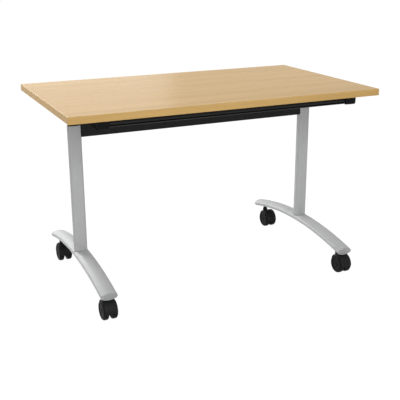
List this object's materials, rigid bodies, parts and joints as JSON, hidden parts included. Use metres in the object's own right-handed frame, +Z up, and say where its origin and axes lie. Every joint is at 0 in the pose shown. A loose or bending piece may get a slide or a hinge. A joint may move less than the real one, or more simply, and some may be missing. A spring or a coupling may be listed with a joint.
{
  "type": "flip top training table",
  "caption": "Rectangular training table whose wood-effect board tips up for nesting, on a wheeled frame with silver T legs, arched feet, a black cross beam and a release bar at the front edge.",
  "frame": {"origin": "on the floor under the middle of the board", "axes": "+X to the right along the board's length, +Y to the back, +Z up; the release bar is at the front, toward -Y"},
  "size_m": [1.2, 0.714, 0.735],
  "materials": {
    "board_laminate": "pale straight-grained melamine, satin",
    "edge_band": "wood-effect edging, satin",
    "black_steel": "black powder coat",
    "black_plastic": "moulded black",
    "bright_steel": "zinc plated",
    "silver_paint": "silver powder coat",
    "silver_plastic": "moulded silver grey",
    "socket_plastic": "moulded dark grey",
    "castor_steel": "black",
    "castor_plastic": "moulded black",
    "wheel_nylon": "black nylon"
  },
  "bodies": {
    "frame": {"column_left": "silver_paint", "column_right": "silver_paint", "foot_left": "silver_paint", "foot_right": "silver_paint", "foot_caps_left": "silver_plastic", "foot_caps_right": "silver_plastic", "cross_beam": "black_steel", "hinge_head_left": "black_steel", "hinge_head_right": "black_steel", "castor_sockets": "socket_plastic"},
    "top": {"top_board": "board_laminate", "edge_band_front": "edge_band", "edge_band_back": "edge_band", "edge_band_left": "edge_band", "edge_band_right": "edge_band", "support_arm_left": "black_steel", "support_arm_right": "black_steel", "arm_end_caps_left": "black_plastic", "arm_end_caps_right": "black_plastic", "hinge_lugs_left": "black_steel", "hinge_lugs_right": "black_steel", "pivot_pin_left": "bright_steel", "pivot_pin_right": "bright_steel", "arm_screws_left": "bright_steel", "arm_screws_right": "bright_steel", "rod_guides_left": "black_steel", "rod_guides_right": "black_steel"},
    "release": {"release_bar": "black_steel", "pull_rod_left": "bright_steel", "pull_rod_right": "bright_steel", "lock_blade_left": "bright_steel", "lock_blade_right": "bright_steel", "rod_collar_left": "bright_steel", "rod_collar_right": "bright_steel", "return_spring_left": "bright_steel", "return_spring_right": "bright_steel"},
    "castor_fl": {"castor_stem_fl": "castor_steel", "castor_hood_fl": "castor_plastic", "castor_axle_fl": "bright_steel"},
    "wheel_left_fl": {"wheel_left_fl": "wheel_nylon"},
    "wheel_right_fl": {"wheel_right_fl": "wheel_nylon"},
    "castor_fr": {"castor_stem_fr": "castor_steel", "castor_hood_fr": "castor_plastic", "castor_axle_fr": "bright_steel"},
    "wheel_left_fr": {"wheel_left_fr": "wheel_nylon"},
    "wheel_right_fr": {"wheel_right_fr": "wheel_nylon"},
    "castor_bl": {"castor_stem_bl": "castor_steel", "castor_hood_bl": "castor_plastic", "castor_axle_bl": "bright_steel"},
    "wheel_left_bl": {"wheel_left_bl": "wheel_nylon"},
    "wheel_right_bl": {"wheel_right_bl": "wheel_nylon"},
    "castor_br": {"castor_stem_br": "castor_steel", "castor_hood_br": "castor_plastic", "castor_axle_br": "bright_steel"},
    "wheel_left_br": {"wheel_left_br": "wheel_nylon"},
    "wheel_right_br": {"wheel_right_br": "wheel_nylon"}
  },
  "joints": [
    {"name": "top_flip", "type": "hinge", "parent": "frame", "child": "top", "pos_m": [0, 0, 0.6665], "axis": [-1, 0, 0], "range_deg": [0, 90]},
    {"name": "release_slide", "type": "slide", "parent": "top", "child": "release", "axis": [0, 1, 0], "range_m": [0, 0.011], "deforming": ["return_spring_left", "return_spring_right"]},
    {"name": "swivel_fl", "type": "hinge", "parent": "frame", "child": "castor_fl", "pos_m": [-0.489, -0.298, 0.08], "axis": [0, 0, 1], "continuous": true},
    {"name": "roll_left_fl", "type": "hinge", "parent": "castor_fl", "child": "wheel_left_fl", "pos_m": [-0.489, -0.3245, 0.036], "axis": [1, 0, 0], "continuous": true},
    {"name": "roll_right_fl", "type": "hinge", "parent": "castor_fl", "child": "wheel_right_fl", "pos_m": [-0.489, -0.3245, 0.036], "axis": [1, 0, 0], "continuous": true},
    {"name": "swivel_fr", "type": "hinge", "parent": "frame", "child": "castor_fr", "pos_m": [0.489, -0.298, 0.08], "axis": [0, 0, 1], "continuous": true},
    {"name": "roll_left_fr", "type": "hinge", "parent": "castor_fr", "child": "wheel_left_fr", "pos_m": [0.489, -0.3245, 0.036], "axis": [1, 0, 0], "continuous": true},
    {"name": "roll_right_fr", "type": "hinge", "parent": "castor_fr", "child": "wheel_right_fr", "pos_m": [0.489, -0.3245, 0.036], "axis": [1, 0, 0], "continuous": true},
    {"name": "swivel_bl", "type": "hinge", "parent": "frame", "child": "castor_bl", "pos_m": [-0.489, 0.298, 0.08], "axis": [0, 0, 1], "continuous": true},
    {"name": "roll_left_bl", "type": "hinge", "parent": "castor_bl", "child": "wheel_left_bl", "pos_m": [-0.489, 0.2715, 0.036], "axis": [1, 0, 0], "continuous": true},
    {"name": "roll_right_bl", "type": "hinge", "parent": "castor_bl", "child": "wheel_right_bl", "pos_m": [-0.489, 0.2715, 0.036], "axis": [1, 0, 0], "continuous": true},
    {"name": "swivel_br", "type": "hinge", "parent": "frame", "child": "castor_br", "pos_m": [0.489, 0.298, 0.08], "axis": [0, 0, 1], "continuous": true},
    {"name": "roll_left_br", "type": "hinge", "parent": "castor_br", "child": "wheel_left_br", "pos_m": [0.489, 0.2715, 0.036], "axis": [1, 0, 0], "continuous": true},
    {"name": "roll_right_br", "type": "hinge", "parent": "castor_br", "child": "wheel_right_br", "pos_m": [0.489, 0.2715, 0.036], "axis": [1, 0, 0], "continuous": true}
  ]
}
